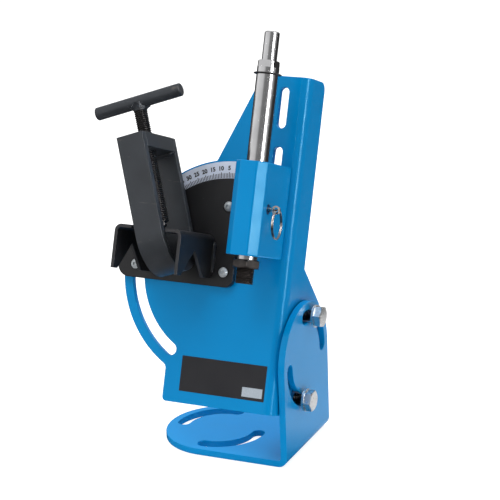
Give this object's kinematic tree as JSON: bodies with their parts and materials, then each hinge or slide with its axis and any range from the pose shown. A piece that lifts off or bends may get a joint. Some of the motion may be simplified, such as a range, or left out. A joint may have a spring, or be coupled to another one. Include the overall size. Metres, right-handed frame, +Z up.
{
  "type": "tube notcher",
  "caption": "Tilting hole-saw tube notcher: slotted swivel bracket, bent plate frame, sliding drill spindle in a block, and a V-jaw clamp with tee screw that swings over a scale.",
  "frame": {"origin": "centre of the foot's round end, on its underside", "axes": "+Z up from the bench, +X to the right along the clamped tube, +Y away from the spindle"},
  "size_m": [0.1987, 0.1668, 0.3739],
  "materials": {
    "bracket_blue": "gloss",
    "frame_blue": "gloss",
    "satin_black": "satin",
    "slate_paint": "satin",
    "black_oxide": "satin",
    "zinc": "satin",
    "ground_steel": "ground",
    "bronze": "turned",
    "nylon": "matte",
    "scale_grey": "satin",
    "label_film": "gloss",
    "sticker_white": "matte",
    "nickel": "polished",
    "rubber_black": "matte"
  },
  "bodies": {
    "bracket": {"mounting_bracket": "bracket_blue"},
    "frame": {"main_frame": "frame_blue", "tilt_bolts": "zinc", "tilt_washers": "zinc", "tilt_liners": "nylon", "tilt_nuts": "zinc", "degree_scale": "scale_grey", "blank_label": "label_film", "blank_sticker": "sticker_white"},
    "carrier": {"clamp_carrier": "satin_black", "clamp_jaw": "satin_black", "jaw_welds": "satin_black", "pivot_sleeve": "ground_steel", "slot_guides": "ground_steel", "carrier_screws": "zinc", "carrier_washers": "black_oxide", "carrier_back_washers": "zinc", "carrier_nuts": "zinc"},
    "nose": {"screw_nose": "black_oxide"},
    "screw": {"clamp_screw": "black_oxide", "tee_handle": "slate_paint", "tee_weld": "slate_paint"},
    "yoke": {"yoke_strap": "slate_paint", "yoke_bar": "slate_paint", "yoke_welds": "slate_paint"},
    "block": {"bearing_block": "frame_blue", "upper_bushing": "bronze", "lower_bushing": "bronze", "block_bolts": "zinc", "block_washers": "zinc", "lock_bush": "black_oxide"},
    "lock": {"lock_pin": "nickel"},
    "ring": {"pull_ring": "nickel"},
    "feed": {"stop_ring": "rubber_black"},
    "spindle": {"spindle": "ground_steel", "hex_collar": "black_oxide", "saw_thread": "black_oxide"}
  },
  "joints": [
    {"name": "frame_tilt", "type": "hinge", "parent": "bracket", "child": "frame", "pos_m": [0.086, 0, 0.0855], "axis": [-1, 0, 0], "range_deg": [-21, 69]},
    {"name": "clamp_swing", "type": "hinge", "parent": "frame", "child": "carrier", "pos_m": [0.0205, -0.02209, 0.16468], "axis": [0, -0.9336, 0.3584], "range_deg": [0, 57]},
    {"name": "screw_lean", "type": "hinge", "parent": "carrier", "child": "nose", "pos_m": [-0.02387, -0.04858, 0.21287], "axis": [0, 0.9336, -0.3584], "range_deg": [-0.5, 31.5]},
    {"name": "screw_turn", "type": "hinge", "parent": "nose", "child": "screw", "pos_m": [-0.0225, -0.04998, 0.20923], "axis": [-0.3322, 0.338, 0.8806], "range_deg": [-3497.1, 6171.4]},
    {"name": "yoke_lift", "type": "slide", "parent": "nose", "child": "yoke", "axis": [-0.3322, 0.338, 0.8806], "range_m": [-0.03, 0.017]},
    {"name": "block_height", "type": "slide", "parent": "frame", "child": "block", "axis": [0, 0.3584, 0.9336], "range_m": [0, 0.027]},
    {"name": "spindle_feed", "type": "slide", "parent": "block", "child": "feed", "axis": [0, 0.3584, 0.9336], "range_m": [-0.073, 0.0027]},
    {"name": "spindle_spin", "type": "hinge", "parent": "feed", "child": "spindle", "pos_m": [0.056, -0.05206, 0.19348], "axis": [0, 0.3584, 0.9336], "continuous": true},
    {"name": "lock_pull", "type": "slide", "parent": "block", "child": "lock", "axis": [1, 0, 0], "range_m": [-0.0015, 0.0025]},
    {"name": "ring_swing", "type": "hinge", "parent": "lock", "child": "ring", "pos_m": [0.0778, -0.03737, 0.23176], "axis": [0, -0.9336, 0.3584], "range_deg": [-9, 160]}
  ],
  "couplings": [
    {"joint": "yoke_lift", "follows": "screw_turn", "m_per_rad": -0.00027852}
  ]
}
